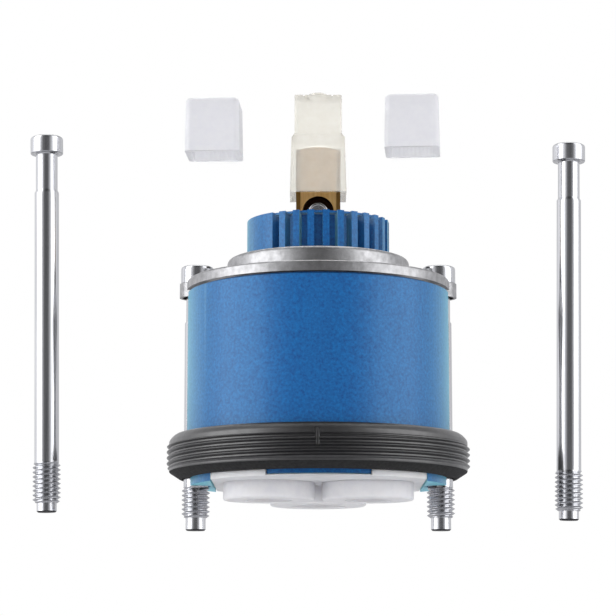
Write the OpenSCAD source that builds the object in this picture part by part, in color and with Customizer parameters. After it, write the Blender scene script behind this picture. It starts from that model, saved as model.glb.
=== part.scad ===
// Ceramic disc tap cartridge. A moulded body with a splined neck holds a turning carrier, and a
// brass lever rocks in the carrier on a cross pin. The lever's ball end pushes a ceramic disc over
// a fixed one, which opens and mixes two inlets. A die-cast flange and two screws clamp the body
// on its seals. Two longer screws and two lever caps of the same set stand loose beside it.
// Frame: Z is the body's axis, z = 0 is the seat plane under the seals, and -Y is the front.

/* [Body] */
// Diameter of the moulded body
body_d = 46; // [45:0.5:50]
// Wall between the wet chamber and the body's surface
body_wall = 5.8; // [5.5:0.1:7]
// Wall that closes the chamber at the top
top_wall = 3; // [2:0.1:5]
// Width of the shadow groove under the flange's rim
rebate_w = 0.7; // [0.3:0.1:1.2]
// Height of the shadow groove under the flange's rim
rebate_h = 0.35; // [0.2:0.05:0.8]

/* [Neck] */
// Diameter of the splined neck
neck_d = 25.2; // [24.5:0.1:27]
// Height of the neck above the flange's hub
neck_h = 6.9; // [5:0.1:9]
// Bore of the neck, in which the carrier turns
neck_bore_d = 19.8; // [19:0.1:21]
// Spline divisions round the neck
spline_count = 30; // [24:1:36]
// Depth of a spline gap
spline_depth = 1.1; // [0.6:0.1:1.3]
// Width of a spline gap
spline_gap_w = 1.45; // [1:0.05:1.7]
// First angle without splines, from the front towards the left
smooth_from = 41; // [30:1:60]
// Last angle without splines
smooth_to = 112; // [90:1:140]

/* [Thread ring] */
// Height of the threaded ring
ring_h = 7.5; // [7:0.1:10]
// Wall of the ring outside the body's surface, at the thread crests
ring_wall = 3.5; // [3:0.1:5]
// Depth of the ring's thread
ring_thread_depth = 0.4; // [0.3:0.05:0.8]
// Height of the ring's threaded band
ring_thread_h = 3.5; // [3:0.1:4.5]
// Height of the ring's edge chamfers
ring_chamfer_h = 1.1; // [0.8:0.1:1.9]
// Width of the chamfer at the ring's foot
ring_foot_chamfer = 1.7; // [0.8:0.1:1.9]
// Width of the chamfer at the ring's top
ring_top_chamfer = 0.8; // [0.5:0.1:2.3]
// Step in the body that the ring seats against
ring_step = 0.6; // [0.4:0.05:1]
// Height of the ring's collar above that step
ring_collar_h = 1.3; // [0.8:0.1:2]

/* [Clamp flange] */
// Overhang of the rim beyond the body
rim_over = 0.2; // [0:0.05:0.6]
// Thickness of the rim
rim_t = 1.8; // [1.4:0.1:3]
// Rounding of the rim's upper edge
rim_round = 0.5; // [0.2:0.1:0.7]
// Diameter of the hub
hub_d = 32.2; // [30:0.1:34]
// Height of the hub above the rim
hub_h = 3.8; // [2.5:0.1:5]
// Rounding of the hub's upper edge
hub_round = 0.9; // [0.3:0.1:1.5]
// Radius of a screw ear
ear_r = 3.1; // [3:0.1:3.6]
// Depth that an ear reaches below the rim
ear_drop = 1.1; // [0.6:0.1:2]
// Depth of the seat that a screw head sinks into the rim
head_sink = 0.4; // [0.1:0.1:0.8]

/* [Screws] */
// Distance of the screw axes inside the body's surface
screw_inset = 1.6; // [1.4:0.1:1.9]
// Diameter of a screw head
head_d = 5.8; // [5.6:0.1:6.2]
// Height of a screw head
head_h = 3.1; // [2.5:0.1:4]
// Hexagon socket across flats
socket_af = 3; // [2.5:0.1:3.5]
// Depth of the hexagon socket
socket_depth = 1.8; // [1:0.1:2.3]
// Diameter of the thin neck under the head
waist_d = 3.85; // [3.4:0.05:4.2]
// Length of the thin neck
waist_len = 6.8; // [4:0.1:9]
// Diameter of the shank
shank_d = 4.3; // [4.2:0.05:4.7]
// Diameter over the thread
thread_d = 4.9; // [4.8:0.05:5.1]
// Length of the full thread on a fixing screw
fixing_thread_len = 4.9; // [3:0.1:4.9]
// Length of the full thread on a spare screw
spare_thread_len = 6.6; // [4:0.1:9]
// Length of the thread's run-out into the shank
thread_runout = 0.9; // [0.5:0.1:1.5]
// Diameter of the plain tip
tip_d = 3.5; // [3:0.1:3.8]
// Length of the plain tip of a fixing screw
fixing_tip_len = 2.1; // [1.5:0.1:3]
// Length of the plain tip of a spare screw
spare_tip_len = 1.5; // [1.2:0.1:3]
// Depth that the fixing screws reach below the seat plane
screw_reach = 4.9; // [2:0.1:7]
// Clearance round a screw in its groove
groove_clear = 0.25; // [0.15:0.05:0.4]
// Clearance round a screw in its ear
ear_clear = 0.15; // [0.1:0.05:0.25]

/* [Base plate] */
// Thickness of the plate's flange
plate_flange_t = 1.1; // [1:0.1:2.5]
// Height of the plate's spigot inside the body
plate_spigot_h = 4.7; // [3.5:0.1:6]
// Width of the key tab at the front
tab_w = 17.3; // [12:0.1:20]
// Thickness of the key tab
tab_t = 1.9; // [1.2:0.1:2.4]
// Depth that the tab reaches below the body
tab_drop = 0.7; // [0.5:0.05:0.8]
// Depth that the lugs reach below the body
lug_drop = 1.3; // [0.8:0.1:1.6]
// Width of a screw lug, at most across the foot
lug_w = 28; // [24:0.5:30]
// Depth of a screw lug from the ring's bore inwards
lug_t = 4; // [3.9:0.1:4.4]
// Clearance of tab and lugs in the plate
tab_clear = 0.15; // [0.1:0.05:0.3]
// Clearance of sliding and seated round pieces
seat_clear = 0.1; // [0.05:0.01:0.2]

/* [Seals] */
// Height of the seals below the plate
seal_lip_h = 3; // [2:0.1:3.5]
// Distance of the inlets' centres inside the chamber wall
inlet_inset = 7.2; // [6.6:0.1:8]
// Angle of the inlets in front of the cross axis
inlet_turn = 31.6; // [28:0.1:35]
// Distance of the outlet's centre inside the chamber wall
outlet_inset = 8; // [7.4:0.1:8.8]
// Gap between the two inlet seals
inlet_gap = 1.2; // [0.6:0.1:2]
// Gap between an inlet seal and the outlet seal
outlet_gap = 0.25; // [0.2:0.05:1]
// Width of a seal from its port to its edge
seal_web = 3.9; // [3.6:0.1:4.6]
// Overhang of a seal's lip round its spigot
lip_over = 1.5; // [1:0.1:2]
// Height of a seal's spigot in the plate
seal_spigot_h = 1.2; // [0.8:0.1:1.5]
// Rounding of a seal's lip
lip_round = 0.4; // [0.2:0.1:0.9]
// Width of a ring seal between the plate and the fixed disc
disc_seal_w = 1.6; // [1.2:0.1:1.8]
// Height of a ring seal between the plate and the fixed disc
disc_seal_h = 1.2; // [0.8:0.1:1.8]

/* [Discs] */
// Thickness of the fixed ceramic disc
fixed_disc_t = 4; // [3:0.1:5]
// Thickness of the moving ceramic disc
moving_disc_t = 4; // [3:0.1:5]
// Gap left between the moving disc and the chamber wall at full travel
disc_gap = 0.4; // [0.3:0.05:0.6]
// Gap between a kidney's inner edge and its port's inner edge
kidney_margin = 0.1; // [0:0.05:0.5]
// Width of the inlet kidneys
kidney_w = 2.8; // [2:0.1:3.2]
// Angle that a kidney spans between the centres of its round ends
kidney_span = 26; // [16:1:30]
// Middle radius of the outlet slot in the fixed disc
slot_r = 5; // [4.6:0.1:5.4]
// Width of the outlet slot
slot_w = 3.2; // [2:0.1:3.6]
// Angle that the outlet slot spans between the centres of its round ends
slot_span = 70; // [40:1:90]
// Wall of the moving disc behind its mixing chamber
pocket_wall = 2.9; // [2.5:0.1:3.5]
// Distance of the mixing chamber behind the disc's axis
pocket_y = 3.2; // [2.6:0.1:3.6]

/* [Driver] */
// Thickness of the driver's plate
driver_plate_t = 4; // [3:0.1:5]
// Height of the driver's boss
driver_boss_h = 8.8; // [7:0.1:10]
// Width of the driver's boss between the carrier's rails
driver_boss_w = 17.8; // [15:0.1:18]
// Length of the driver's boss along its travel
driver_boss_len = 13; // [10:0.1:14]
// Width of a driver peg
peg_w = 4; // [3:0.1:5]
// Depth of a driver peg in the disc's edge
peg_t = 1.8; // [1:0.1:2.2]
// Length of a driver peg below the driver's plate
peg_h = 2; // [1:0.1:2.8]
// Width of the driver's ring seal
driver_seal_w = 1.4; // [1:0.1:1.8]
// Height of the driver's ring seal
driver_seal_h = 1.2; // [0.8:0.1:1.8]

/* [Carrier] */
// Thickness of the carrier's flange
carrier_flange_t = 3.5; // [2.5:0.1:5]
// Gap between the carrier's flange and the chamber wall
carrier_flange_gap = 2; // [1:0.1:2.5]
// Thickness of the carrier's guide rails
rail_t = 3; // [2:0.1:3.5]
// Length of the carrier's guide rails
rail_len = 17; // [12:0.1:18]
// Gap under the carrier's flange and its rails
driver_gap = 0.3; // [0.2:0.05:0.6]
// Thickness of the thrust washer
washer_t = 0.8; // [0.5:0.1:1.5]
// Width of the thrust washer
washer_w = 2.6; // [1.5:0.1:4]
// Depth of the carrier's top below the neck's edge
carrier_recess = 0.8; // [0.4:0.1:2]
// Running clearance of the carrier in the neck
run_clear = 0.08; // [0.05:0.01:0.1]

/* [Lever] */
// Width of the square lever
lever_w = 7.8; // [7:0.1:8.2]
// Height of the lever above its pin
lever_above = 23.4; // [21:0.1:26]
// Length of the arm from the pin to the ball's centre
arm_len = 12; // [11:0.1:12.4]
// Diameter of the arm
arm_d = 4.6; // [3.5:0.1:5]
// Diameter of the ball end
ball_d = 6.8; // [6:0.1:7.2]
// Clearance of the ball in its socket
ball_clear = 0.15; // [0.12:0.01:0.2]
// Depth of the ball's centre below the driver's top
ball_depth = 1.6; // [1.4:0.1:2]
// Depth of the square part below the pin
lever_block = 4; // [3:0.1:5]
// Diameter of the cross pin
pin_d = 3; // [2.5:0.1:3.5]
// Running clearance of the pin
pin_clear = 0.05; // [0.03:0.01:0.1]
// Largest tilt of the lever
lift_max = 22; // [15:0.5:23]
// Slope of the turned chamfer on the lever's end
lever_chamfer = 35; // [20:1:45]
// Sideways clearance of the lever in the carrier
lever_clear = 0.15; // [0.1:0.05:0.3]
// Clearance of the lever in the carrier's slot at full tilt
swing_clear = 0.25; // [0.2:0.05:0.4]

/* [Flow limiter] */
// Height of the limiter screw above the neck's edge
limiter_above = 1.35; // [0.8:0.05:2.5]
// Diameter of the hole in the lever's front face
limiter_hole_d = 5.5; // [4.6:0.1:5.6]
// Diameter of the limiter screw
limiter_d = 4; // [3:0.1:4.4]
// Length of the limiter screw
limiter_len = 4; // [3:0.1:4.4]
// Depth of the limiter screw's face behind the lever's front
limiter_sink = 2.6; // [1:0.1:3]
// Hexagon socket of the limiter screw across flats
limiter_af = 2; // [1.5:0.1:2.2]
// Clearance of the limiter screw
limiter_clear = 0.05; // [0.03:0.01:0.1]

/* [Lever adaptor] */
// Width of the adaptor's skirt at its lower edge
skirt_w = 10; // [9.8:0.05:10.6]
// Width of the adaptor's skirt at its shoulder
shoulder_w = 9.45; // [9.2:0.05:9.8]
// Height of the skirt up to the shoulder
skirt_h = 9.8; // [8:0.1:12]
// Height of the sloping shoulder
shoulder_h = 0.8; // [0.4:0.1:1.5]
// Depth that the lever sits in the adaptor
lever_grip = 8.9; // [7:0.1:9.4]
// Width of the square drive on top
drive_w = 8.4; // [8:0.05:9]
// Height of the square drive
drive_h = 7; // [5:0.1:9]
// Corner radius of the square drive
drive_round = 0.5; // [0.2:0.1:1]
// Diameter of the core in the top of the drive
core_d = 4.4; // [3.5:0.1:5]
// Gap round the core
core_gap = 0.35; // [0.2:0.05:0.6]
// Depth of the gap round the core
core_depth = 1.6; // [0.8:0.1:3]
// Height of the core's crown above the drive
core_crown = 0.4; // [0.2:0.1:0.8]
// Clearance of the lever in the adaptor
adaptor_clear = 0.05; // [0.03:0.01:0.1]

/* [Loose set] */
// Overall length of a spare screw
spare_len = 67; // [55:0.5:80]
// Lean of the spare screws away from the cartridge
spare_lean = 1; // [0:0.1:3]
// Distance of the left spare screw's tip from the axis
spare_left_x = 47.4; // [40:0.1:60]
// Height of the left spare screw's tip
spare_left_z = -1.7; // [-10:0.1:10]
// Distance of the right spare screw's tip from the axis
spare_right_x = 43.7; // [40:0.1:60]
// Height of the right spare screw's tip
spare_right_z = -3.1; // [-10:0.1:10]
// Width of a lever cap at its open edge
cap_w = 10.1; // [9.6:0.1:11]
// Width of a lever cap at its closed end
cap_top_w = 9; // [8.6:0.1:10]
// Height of a lever cap
cap_h = 9.6; // [8:0.1:12]
// Wall of a lever cap
cap_wall = 1; // [0.7:0.1:1.3]
// Corner radius of a lever cap
cap_round = 1; // [0.6:0.1:2]
// Distance of both caps in front of the axis, clear of the lever's swing
cap_front = 2; // [0:0.1:10]
// Distance of the left cap from the axis
cap_left_x = 18.5; // [14:0.1:30]
// Height of the left cap's open edge
cap_left_z = 61.5; // [50:0.1:80]
// Turn of the left cap
cap_left_turn = -3; // [-20:1:20]
// Distance of the right cap from the axis
cap_right_x = 16.8; // [14:0.1:30]
// Height of the right cap's open edge
cap_right_z = 62.2; // [50:0.1:80]
// Turn of the right cap
cap_right_turn = -8; // [-20:1:20]

/* [Hidden] */
$fn = 96;
cut = 1;
body_r = body_d / 2;
chamber_r = body_r - body_wall;
neck_r = neck_d / 2;
neck_bore_r = neck_bore_d / 2;
foot_r = body_r - ring_step;
screw_x = body_r - screw_inset;
groove_r = thread_d / 2 + groove_clear;
ear_hole_r = thread_d / 2 + ear_clear;

plate_z = seal_lip_h;
foot_z = plate_z + plate_flange_t;
spigot_z = foot_z + plate_spigot_h;
fixed_z = spigot_z + fixed_disc_t;
moving_z = fixed_z + moving_disc_t;
driver_z = moving_z + driver_plate_t;
boss_z = driver_z + driver_boss_h;
carrier_z = boss_z + driver_gap;
washer_z = carrier_z + carrier_flange_t;
chamber_z = washer_z + washer_t;
body_z = chamber_z + top_wall;
rim_z = body_z + rim_t;
ear_z = body_z - ear_drop;
hub_z = rim_z + hub_h;
neck_z = hub_z + neck_h;
carrier_top = neck_z - carrier_recess;
ring_z = foot_z + ring_h;
step_z = ring_z - ring_collar_h;
head_z = rim_z - head_sink;

ball_z = boss_z - ball_depth;
pin_z = ball_z + arm_len;
lever_z = pin_z + lever_above;
limiter_z = neck_z + limiter_above;
adaptor_z = lever_z - lever_grip;
shoulder_z = adaptor_z + skirt_h;
drive_z = shoulder_z + shoulder_h;
adaptor_top = drive_z + drive_h;

disc_travel = arm_len * sin(lift_max);
moving_r = chamber_r - disc_travel - disc_gap;
carrier_r = neck_bore_r - run_clear;
carrier_flange_r = chamber_r - carrier_flange_gap;
slot_half = lever_w / 2 / cos(lift_max) + swing_clear;

inlet_circle_r = chamber_r - inlet_inset;
inlet_x = inlet_circle_r * cos(inlet_turn);
inlet_y = -inlet_circle_r * sin(inlet_turn);
outlet_y = chamber_r - outlet_inset;
inlet_r = inlet_x - inlet_gap / 2;
outlet_r = norm([inlet_x, outlet_y - inlet_y]) - inlet_r - outlet_gap;
inlet_port_r = inlet_r - seal_web;
outlet_port_r = outlet_r - seal_web;
kidney_r = inlet_circle_r - inlet_port_r + kidney_w / 2 + kidney_margin;
pocket_r = moving_r - pocket_wall - pocket_y;
inlet_sides = [-1, 1];

// Ring between two radii, standing on z
module ring(r_out, r_in, h, z = 0) {
    translate([0, 0, z]) difference() {
        cylinder(r = r_out, h = h);
        translate([0, 0, -cut]) cylinder(r = r_in, h = h + 2 * cut);
    }
}

// Square with round corners, exact arcs
module round_square(w, r) {
    square([w, w - 2 * r], center = true);
    square([w - 2 * r, w], center = true);
    for (x = [-1, 1], y = [-1, 1]) {
        translate([x * (w / 2 - r), y * (w / 2 - r)]) circle(r = r);
    }
}

// Half profile of a disc from the axis out, with its upper edge rounded
module round_top_profile(r_out, h, edge) {
    square([r_out, h - edge]);
    square([r_out - edge, h]);
    translate([r_out - edge, h - edge]) circle(r = edge);
}

// Arc-shaped port with round ends, centred on an angle
module arc_port(r, w, span, h) {
    rotate([0, 0, -span / 2]) rotate_extrude(angle = span) translate([r - w / 2, 0]) square([w, h]);
    for (side = [-1, 1]) {
        rotate([0, 0, side * span / 2]) translate([r, 0, 0]) cylinder(d = w, h = h);
    }
}

// Places its children at both screw axes
module at_screws() {
    for (side = [-1, 1]) {
        translate([side * screw_x, 0, 0]) children();
    }
}

// Gaps between the splines, left out of the smooth sector
module spline_gaps() {
    pitch = 360 / spline_count;
    for (i = [0 : spline_count - 1]) {
        angle = i * pitch;
        if (angle <= 360 - smooth_to || angle >= 360 - smooth_from) {
            rotate([0, 0, angle]) {
                translate([-spline_gap_w / 2, -neck_r - cut, hub_z - cut]) {
                    cube([spline_gap_w, spline_depth + cut, neck_h + 2 * cut]);
                }
            }
        }
    }
}

// Screw with its head's seat at z = 0 and its tip pointing down
module screw(under_head, thread_len, tip_len) {
    edge = head_h / 8;
    thread_top = tip_len + thread_len - under_head;
    thread_end = tip_len - under_head;
    shoulder = (thread_d - tip_d) / 4;
    difference() {
        rotate_extrude() {
            round_top_profile(head_d / 2, head_h, edge);
            polygon([
                [0, 0], [0, -under_head],
                [tip_d / 2 - shoulder, -under_head], [tip_d / 2, shoulder - under_head],
                [tip_d / 2, thread_end], [thread_d / 2, thread_end + shoulder],
                [thread_d / 2, thread_top], [shank_d / 2, thread_top + thread_runout],
                [shank_d / 2, -waist_len - shoulder], [waist_d / 2, -waist_len],
                [waist_d / 2, 0]
            ]);
        }
        translate([0, 0, head_h - socket_depth]) {
            cylinder(d = socket_af / cos(30), h = socket_depth + cut, $fn = 6);
        }
    }
}

// Round seal with a rounded lip under the plate and a spigot in it
module port_seal(lip_r, port_r) {
    difference() {
        union() {
            translate([0, 0, seal_lip_h]) mirror([0, 0, 1]) {
                rotate_extrude() round_top_profile(lip_r, seal_lip_h, lip_round);
            }
            cylinder(r = lip_r - lip_over, h = seal_lip_h + seal_spigot_h);
        }
        translate([0, 0, -cut]) cylinder(r = port_r, h = seal_lip_h + seal_spigot_h + 2 * cut);
    }
}

// Key tab at the front of the body's foot, grown by a clearance and reaching out to a radius
module key_tab(z, h, grow, r_out) {
    intersection() {
        ring(r_out, foot_r - tab_t - grow, h, z);
        translate([-tab_w / 2 - grow, -r_out, z]) cube([tab_w + 2 * grow, r_out, h]);
    }
}

// Screw lugs at both sides of the body's foot, grown by a clearance and reaching out to a radius
module screw_lugs(z, h, grow, r_out) {
    inner_x = foot_r - lug_t - grow;
    intersection() {
        translate([0, 0, z]) cylinder(r = r_out, h = h);
        for (turn = [0, 180]) {
            rotate([0, 0, turn]) translate([inner_x, -lug_w / 2 - grow, z]) {
                cube([r_out - inner_x, lug_w + 2 * grow, h]);
            }
        }
    }
}

module housing() {
    color("steelblue") difference() {
        union() {
            rotate_extrude() {
                translate([0, foot_z]) square([foot_r, step_z - foot_z]);
                translate([0, step_z]) square([body_r, body_z - rebate_h - step_z]);
                translate([0, foot_z]) square([body_r - rebate_w, body_z - foot_z]);
                translate([0, body_z]) square([neck_r, neck_z - body_z]);
            }
            key_tab(foot_z - tab_drop, tab_drop + cut, 0, foot_r);
            screw_lugs(foot_z - lug_drop, lug_drop + cut, 0, foot_r);
        }
        translate([0, 0, plate_z]) cylinder(r = chamber_r, h = chamber_z - plate_z);
        translate([0, 0, chamber_z - cut]) cylinder(r = neck_bore_r, h = neck_z - chamber_z + 2 * cut);
        spline_gaps();
        at_screws() {
            cylinder(r = groove_r, h = body_z + cut);
            translate([0, 0, ear_z - seat_clear]) {
                cylinder(r = ear_r + seat_clear, h = ear_drop + seat_clear + cut);
            }
        }
    }
}

module clamp_flange() {
    color("silver") difference() {
        union() {
            translate([0, 0, body_z]) rotate_extrude() {
                round_top_profile(body_r + rim_over, rim_t, rim_round);
                round_top_profile(hub_d / 2, rim_t + hub_h, hub_round);
            }
            at_screws() translate([0, 0, ear_z]) cylinder(r = ear_r, h = head_z - ear_z);
        }
        translate([0, 0, body_z - cut]) cylinder(r = neck_r + seat_clear, h = rim_t + hub_h + 2 * cut);
        at_screws() {
            translate([0, 0, ear_z - cut]) cylinder(r = ear_hole_r, h = rim_z - ear_z + 2 * cut);
            translate([0, 0, head_z]) cylinder(r = head_d / 2 + seat_clear, h = head_sink + cut);
        }
    }
}

module thread_ring() {
    crest_r = body_r + ring_wall;
    root_r = crest_r - ring_thread_depth;
    band_z = foot_z + (ring_h - ring_thread_h) / 2;
    color("dimgray") difference() {
        rotate_extrude() {
            polygon([
                [0, foot_z], [root_r - ring_foot_chamfer, foot_z], [root_r, foot_z + ring_chamfer_h],
                [root_r, ring_z - ring_chamfer_h], [root_r - ring_top_chamfer, ring_z], [0, ring_z]
            ]);
            translate([0, band_z]) square([crest_r, ring_thread_h]);
        }
        translate([0, 0, foot_z - cut]) cylinder(r = foot_r + seat_clear, h = ring_h + 2 * cut);
        translate([0, 0, step_z]) cylinder(r = body_r + seat_clear, h = ring_collar_h + cut);
        at_screws() translate([0, 0, foot_z - cut]) cylinder(r = groove_r, h = ring_h + 2 * cut);
    }
}

module base_plate() {
    color("whitesmoke") difference() {
        union() {
            translate([0, 0, plate_z]) cylinder(r = body_r - seat_clear, h = plate_flange_t);
            translate([0, 0, foot_z]) cylinder(r = chamber_r - seat_clear, h = plate_spigot_h);
        }
        for (side = inlet_sides) {
            translate([side * inlet_x, inlet_y, 0]) plate_port(inlet_r, inlet_port_r);
        }
        translate([0, outlet_y, 0]) plate_port(outlet_r, outlet_port_r);
        key_tab(foot_z - tab_drop - tab_clear, tab_drop + tab_clear + cut, tab_clear, body_r + cut);
        screw_lugs(0, foot_z + cut, tab_clear, body_r + cut);
    }
}

// Port through the plate, with the recesses for its seals below and above
module plate_port(lip_r, port_r) {
    cylinder(r = port_r, h = spigot_z + cut);
    cylinder(r = lip_r - lip_over + seat_clear, h = plate_z + seal_spigot_h);
    translate([0, 0, spigot_z - disc_seal_h]) {
        cylinder(r = port_r + disc_seal_w + seat_clear, h = disc_seal_h + cut);
    }
}

module inlet_seal_left() {
    color("ghostwhite") translate([-inlet_x, inlet_y, 0]) port_seal(inlet_r, inlet_port_r);
}

module inlet_seal_right() {
    color("ghostwhite") translate([inlet_x, inlet_y, 0]) port_seal(inlet_r, inlet_port_r);
}

module outlet_seal() {
    color("ghostwhite") translate([0, outlet_y, 0]) port_seal(outlet_r, outlet_port_r);
}

module disc_seals() {
    z = spigot_z - disc_seal_h;
    color("black") {
        for (side = inlet_sides) {
            translate([side * inlet_x, inlet_y, z]) {
                ring(inlet_port_r + disc_seal_w, inlet_port_r, disc_seal_h);
            }
        }
        translate([0, outlet_y, z]) ring(outlet_port_r + disc_seal_w, outlet_port_r, disc_seal_h);
    }
}

module fixed_disc() {
    color("ivory") translate([0, 0, spigot_z]) difference() {
        cylinder(r = chamber_r - seat_clear, h = fixed_disc_t);
        translate([0, 0, -cut]) {
            for (angle = [-inlet_turn, 180 + inlet_turn]) {
                rotate([0, 0, angle]) arc_port(kidney_r, kidney_w, kidney_span, fixed_disc_t + 2 * cut);
            }
            rotate([0, 0, 90]) arc_port(slot_r, slot_w, slot_span, fixed_disc_t + 2 * cut);
        }
    }
}

module moving_disc() {
    color("ivory") translate([0, 0, fixed_z]) difference() {
        cylinder(r = moving_r, h = moving_disc_t);
        translate([0, pocket_y, -cut]) cylinder(r = pocket_r, h = moving_disc_t + 2 * cut);
        driver_pegs(moving_disc_t - peg_h - seat_clear, peg_h + seat_clear + cut, seat_clear);
    }
}

// Two pegs at the disc's edge, grown by a clearance for their notches
module driver_pegs(z, h, grow) {
    for (side = [-1, 1]) {
        translate([side * (moving_r - peg_t / 2), 0, z + h / 2]) {
            cube([peg_t + 2 * grow, peg_w + 2 * grow, h], center = true);
        }
    }
}

module driver_seal() {
    r = pocket_r + seat_clear;
    color("black") translate([0, pocket_y, moving_z]) ring(r + driver_seal_w, r, driver_seal_h);
}

module disc_driver() {
    seal_r = pocket_r + seat_clear;
    color("lightgray") difference() {
        union() {
            translate([0, 0, moving_z]) cylinder(r = moving_r, h = driver_plate_t);
            intersection() {
                translate([0, 0, moving_z - peg_h]) cylinder(r = moving_r, h = peg_h + cut);
                driver_pegs(moving_z - peg_h, peg_h + cut, 0);
            }
            translate([0, 0, driver_z + driver_boss_h / 2]) {
                cube([driver_boss_w, driver_boss_len, driver_boss_h + 2 * seat_clear], center = true);
            }
        }
        translate([0, 0, boss_z]) cylinder(r = chamber_r, h = cut);
        translate([0, 0, ball_z - ball_d / 2 - ball_clear]) cylinder(d = ball_d + 2 * ball_clear, h = boss_z);
        translate([0, pocket_y, moving_z]) {
            ring(seal_r + driver_seal_w + seat_clear, seal_r - seat_clear, driver_seal_h);
        }
    }
}

module thrust_washer() {
    color("white") ring(carrier_flange_r, carrier_flange_r - washer_w, washer_t, washer_z);
}

// Slot outline that clears the lever from upright to full tilt, in the YZ plane
module lever_slot() {
    top = carrier_top + cut - pin_z;
    foot = pin_z - carrier_z + cut;
    width = lever_w + 2 * lever_clear;
    rotate([90, 0, 90]) translate([0, 0, -width / 2]) linear_extrude(width) {
        polygon([
            [-slot_half, pin_z], [-slot_half, pin_z + top], [slot_half + top * tan(lift_max), pin_z + top],
            [slot_half, pin_z], [slot_half, pin_z - foot], [-slot_half - foot * tan(lift_max), pin_z - foot]
        ]);
    }
}

module lever_carrier() {
    rail_x = driver_boss_w / 2 + seat_clear;
    rail_z = driver_z + driver_gap;
    color("gainsboro") difference() {
        union() {
            translate([0, 0, carrier_z]) cylinder(r = carrier_r, h = carrier_top - carrier_z);
            translate([0, 0, carrier_z]) cylinder(r = carrier_flange_r, h = carrier_flange_t);
            for (side = [-1, 1]) {
                translate([side * (rail_x + rail_t / 2), 0, (rail_z + carrier_z + cut) / 2]) {
                    cube([rail_t, rail_len, carrier_z + cut - rail_z], center = true);
                }
            }
        }
        lever_slot();
        translate([0, 0, pin_z]) rotate([0, 90, 0]) {
            cylinder(d = pin_d + 2 * pin_clear, h = neck_bore_d, center = true);
        }
    }
}

module pivot_pin() {
    color("silver") translate([0, 0, pin_z]) rotate([0, 90, 0]) {
        cylinder(d = pin_d, h = 2 * sqrt(pow(carrier_r, 2) - pow(pin_d / 2, 2)), center = true);
    }
}

// Square bar of the lever with its turned end chamfer
module lever_bar() {
    bar_z = pin_z - lever_block;
    bar_h = lever_z - bar_z;
    cone_h = lever_w;
    intersection() {
        translate([-lever_w / 2, -lever_w / 2, bar_z]) cube([lever_w, lever_w, bar_h]);
        union() {
            translate([0, 0, bar_z]) cylinder(d = 2 * lever_w, h = bar_h - cone_h);
            translate([0, 0, lever_z - cone_h]) {
                cylinder(r1 = lever_w / 2 + cone_h / tan(lever_chamfer), r2 = lever_w / 2, h = cone_h);
            }
        }
    }
}

module lever() {
    front = -lever_w / 2;
    bar_z = pin_z - lever_block;
    cone_h = (lever_w - arm_d) / 2;
    color("goldenrod") difference() {
        union() {
            lever_bar();
            translate([0, 0, bar_z - cone_h]) cylinder(d1 = arm_d, d2 = lever_w, h = cone_h);
            translate([0, 0, ball_z]) cylinder(d = arm_d, h = bar_z - ball_z);
            translate([0, 0, ball_z]) sphere(d = ball_d);
        }
        translate([0, 0, pin_z]) rotate([0, 90, 0]) {
            cylinder(d = pin_d + 2 * pin_clear, h = lever_w + 2 * cut, center = true);
        }
        translate([0, front - cut, limiter_z]) rotate([-90, 0, 0]) {
            cylinder(d = limiter_hole_d, h = limiter_sink + cut);
            cylinder(d = limiter_d + 2 * limiter_clear, h = limiter_sink + limiter_len + limiter_clear + cut);
        }
    }
}

module limiter_screw() {
    face = limiter_sink - lever_w / 2;
    color("silver") translate([0, face, limiter_z]) rotate([-90, 0, 0]) difference() {
        cylinder(d = limiter_d, h = limiter_len);
        translate([0, 0, -cut]) cylinder(d = limiter_af / cos(30), h = limiter_len / 2 + cut, $fn = 6);
    }
}

module lever_adaptor() {
    color("beige") difference() {
        union() {
            translate([0, 0, adaptor_z]) linear_extrude(skirt_h, scale = shoulder_w / skirt_w) {
                square(skirt_w, center = true);
            }
            translate([0, 0, shoulder_z]) linear_extrude(shoulder_h, scale = drive_w / shoulder_w) {
                square(shoulder_w, center = true);
            }
            translate([0, 0, shoulder_z]) linear_extrude(shoulder_h + drive_h) {
                round_square(drive_w, drive_round);
            }
            translate([0, 0, adaptor_top - cut]) intersection() {
                cylinder(d = core_d, h = core_crown + cut);
                crown_r = (pow(core_d / 2, 2) + pow(core_crown, 2)) / (2 * core_crown);
                translate([0, 0, cut + core_crown - crown_r]) sphere(r = crown_r);
            }
        }
        translate([0, 0, adaptor_top - core_depth]) ring(core_d / 2 + core_gap, core_d / 2, core_depth + cut);
        grip_w = lever_w + 2 * adaptor_clear;
        translate([0, 0, adaptor_z - cut]) linear_extrude(lever_grip + adaptor_clear + cut) {
            square(grip_w, center = true);
        }
    }
}

module fixing_screw(side) {
    color("lightsteelblue") translate([side * screw_x, 0, head_z]) {
        screw(head_z + screw_reach, fixing_thread_len, fixing_tip_len);
    }
}

module fixing_screw_left() {
    fixing_screw(-1);
}

module fixing_screw_right() {
    fixing_screw(1);
}

// Spare screw with its tip at the given place, leaning outwards
module spare_screw(x, z, side) {
    under_head = spare_len - head_h;
    translate([side * x, 0, z]) rotate([0, side * spare_lean, 0]) {
        translate([0, 0, under_head]) screw(under_head, spare_thread_len, spare_tip_len);
    }
}

module spare_screw_left() {
    color("lightsteelblue") spare_screw(spare_left_x, spare_left_z, -1);
}

module spare_screw_right() {
    color("lightsteelblue") spare_screw(spare_right_x, spare_right_z, 1);
}

// Square cap, open at the bottom
module lever_cap() {
    difference() {
        linear_extrude(cap_h, scale = cap_top_w / cap_w) round_square(cap_w, cap_round, $fn = 12);
        inner_w = cap_w - 2 * cap_wall;
        inner_top_w = cap_top_w - 2 * cap_wall;
        translate([0, 0, -cut]) linear_extrude(cap_h - cap_wall + cut, scale = inner_top_w / inner_w) {
            square(inner_w, center = true);
        }
    }
}

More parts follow.
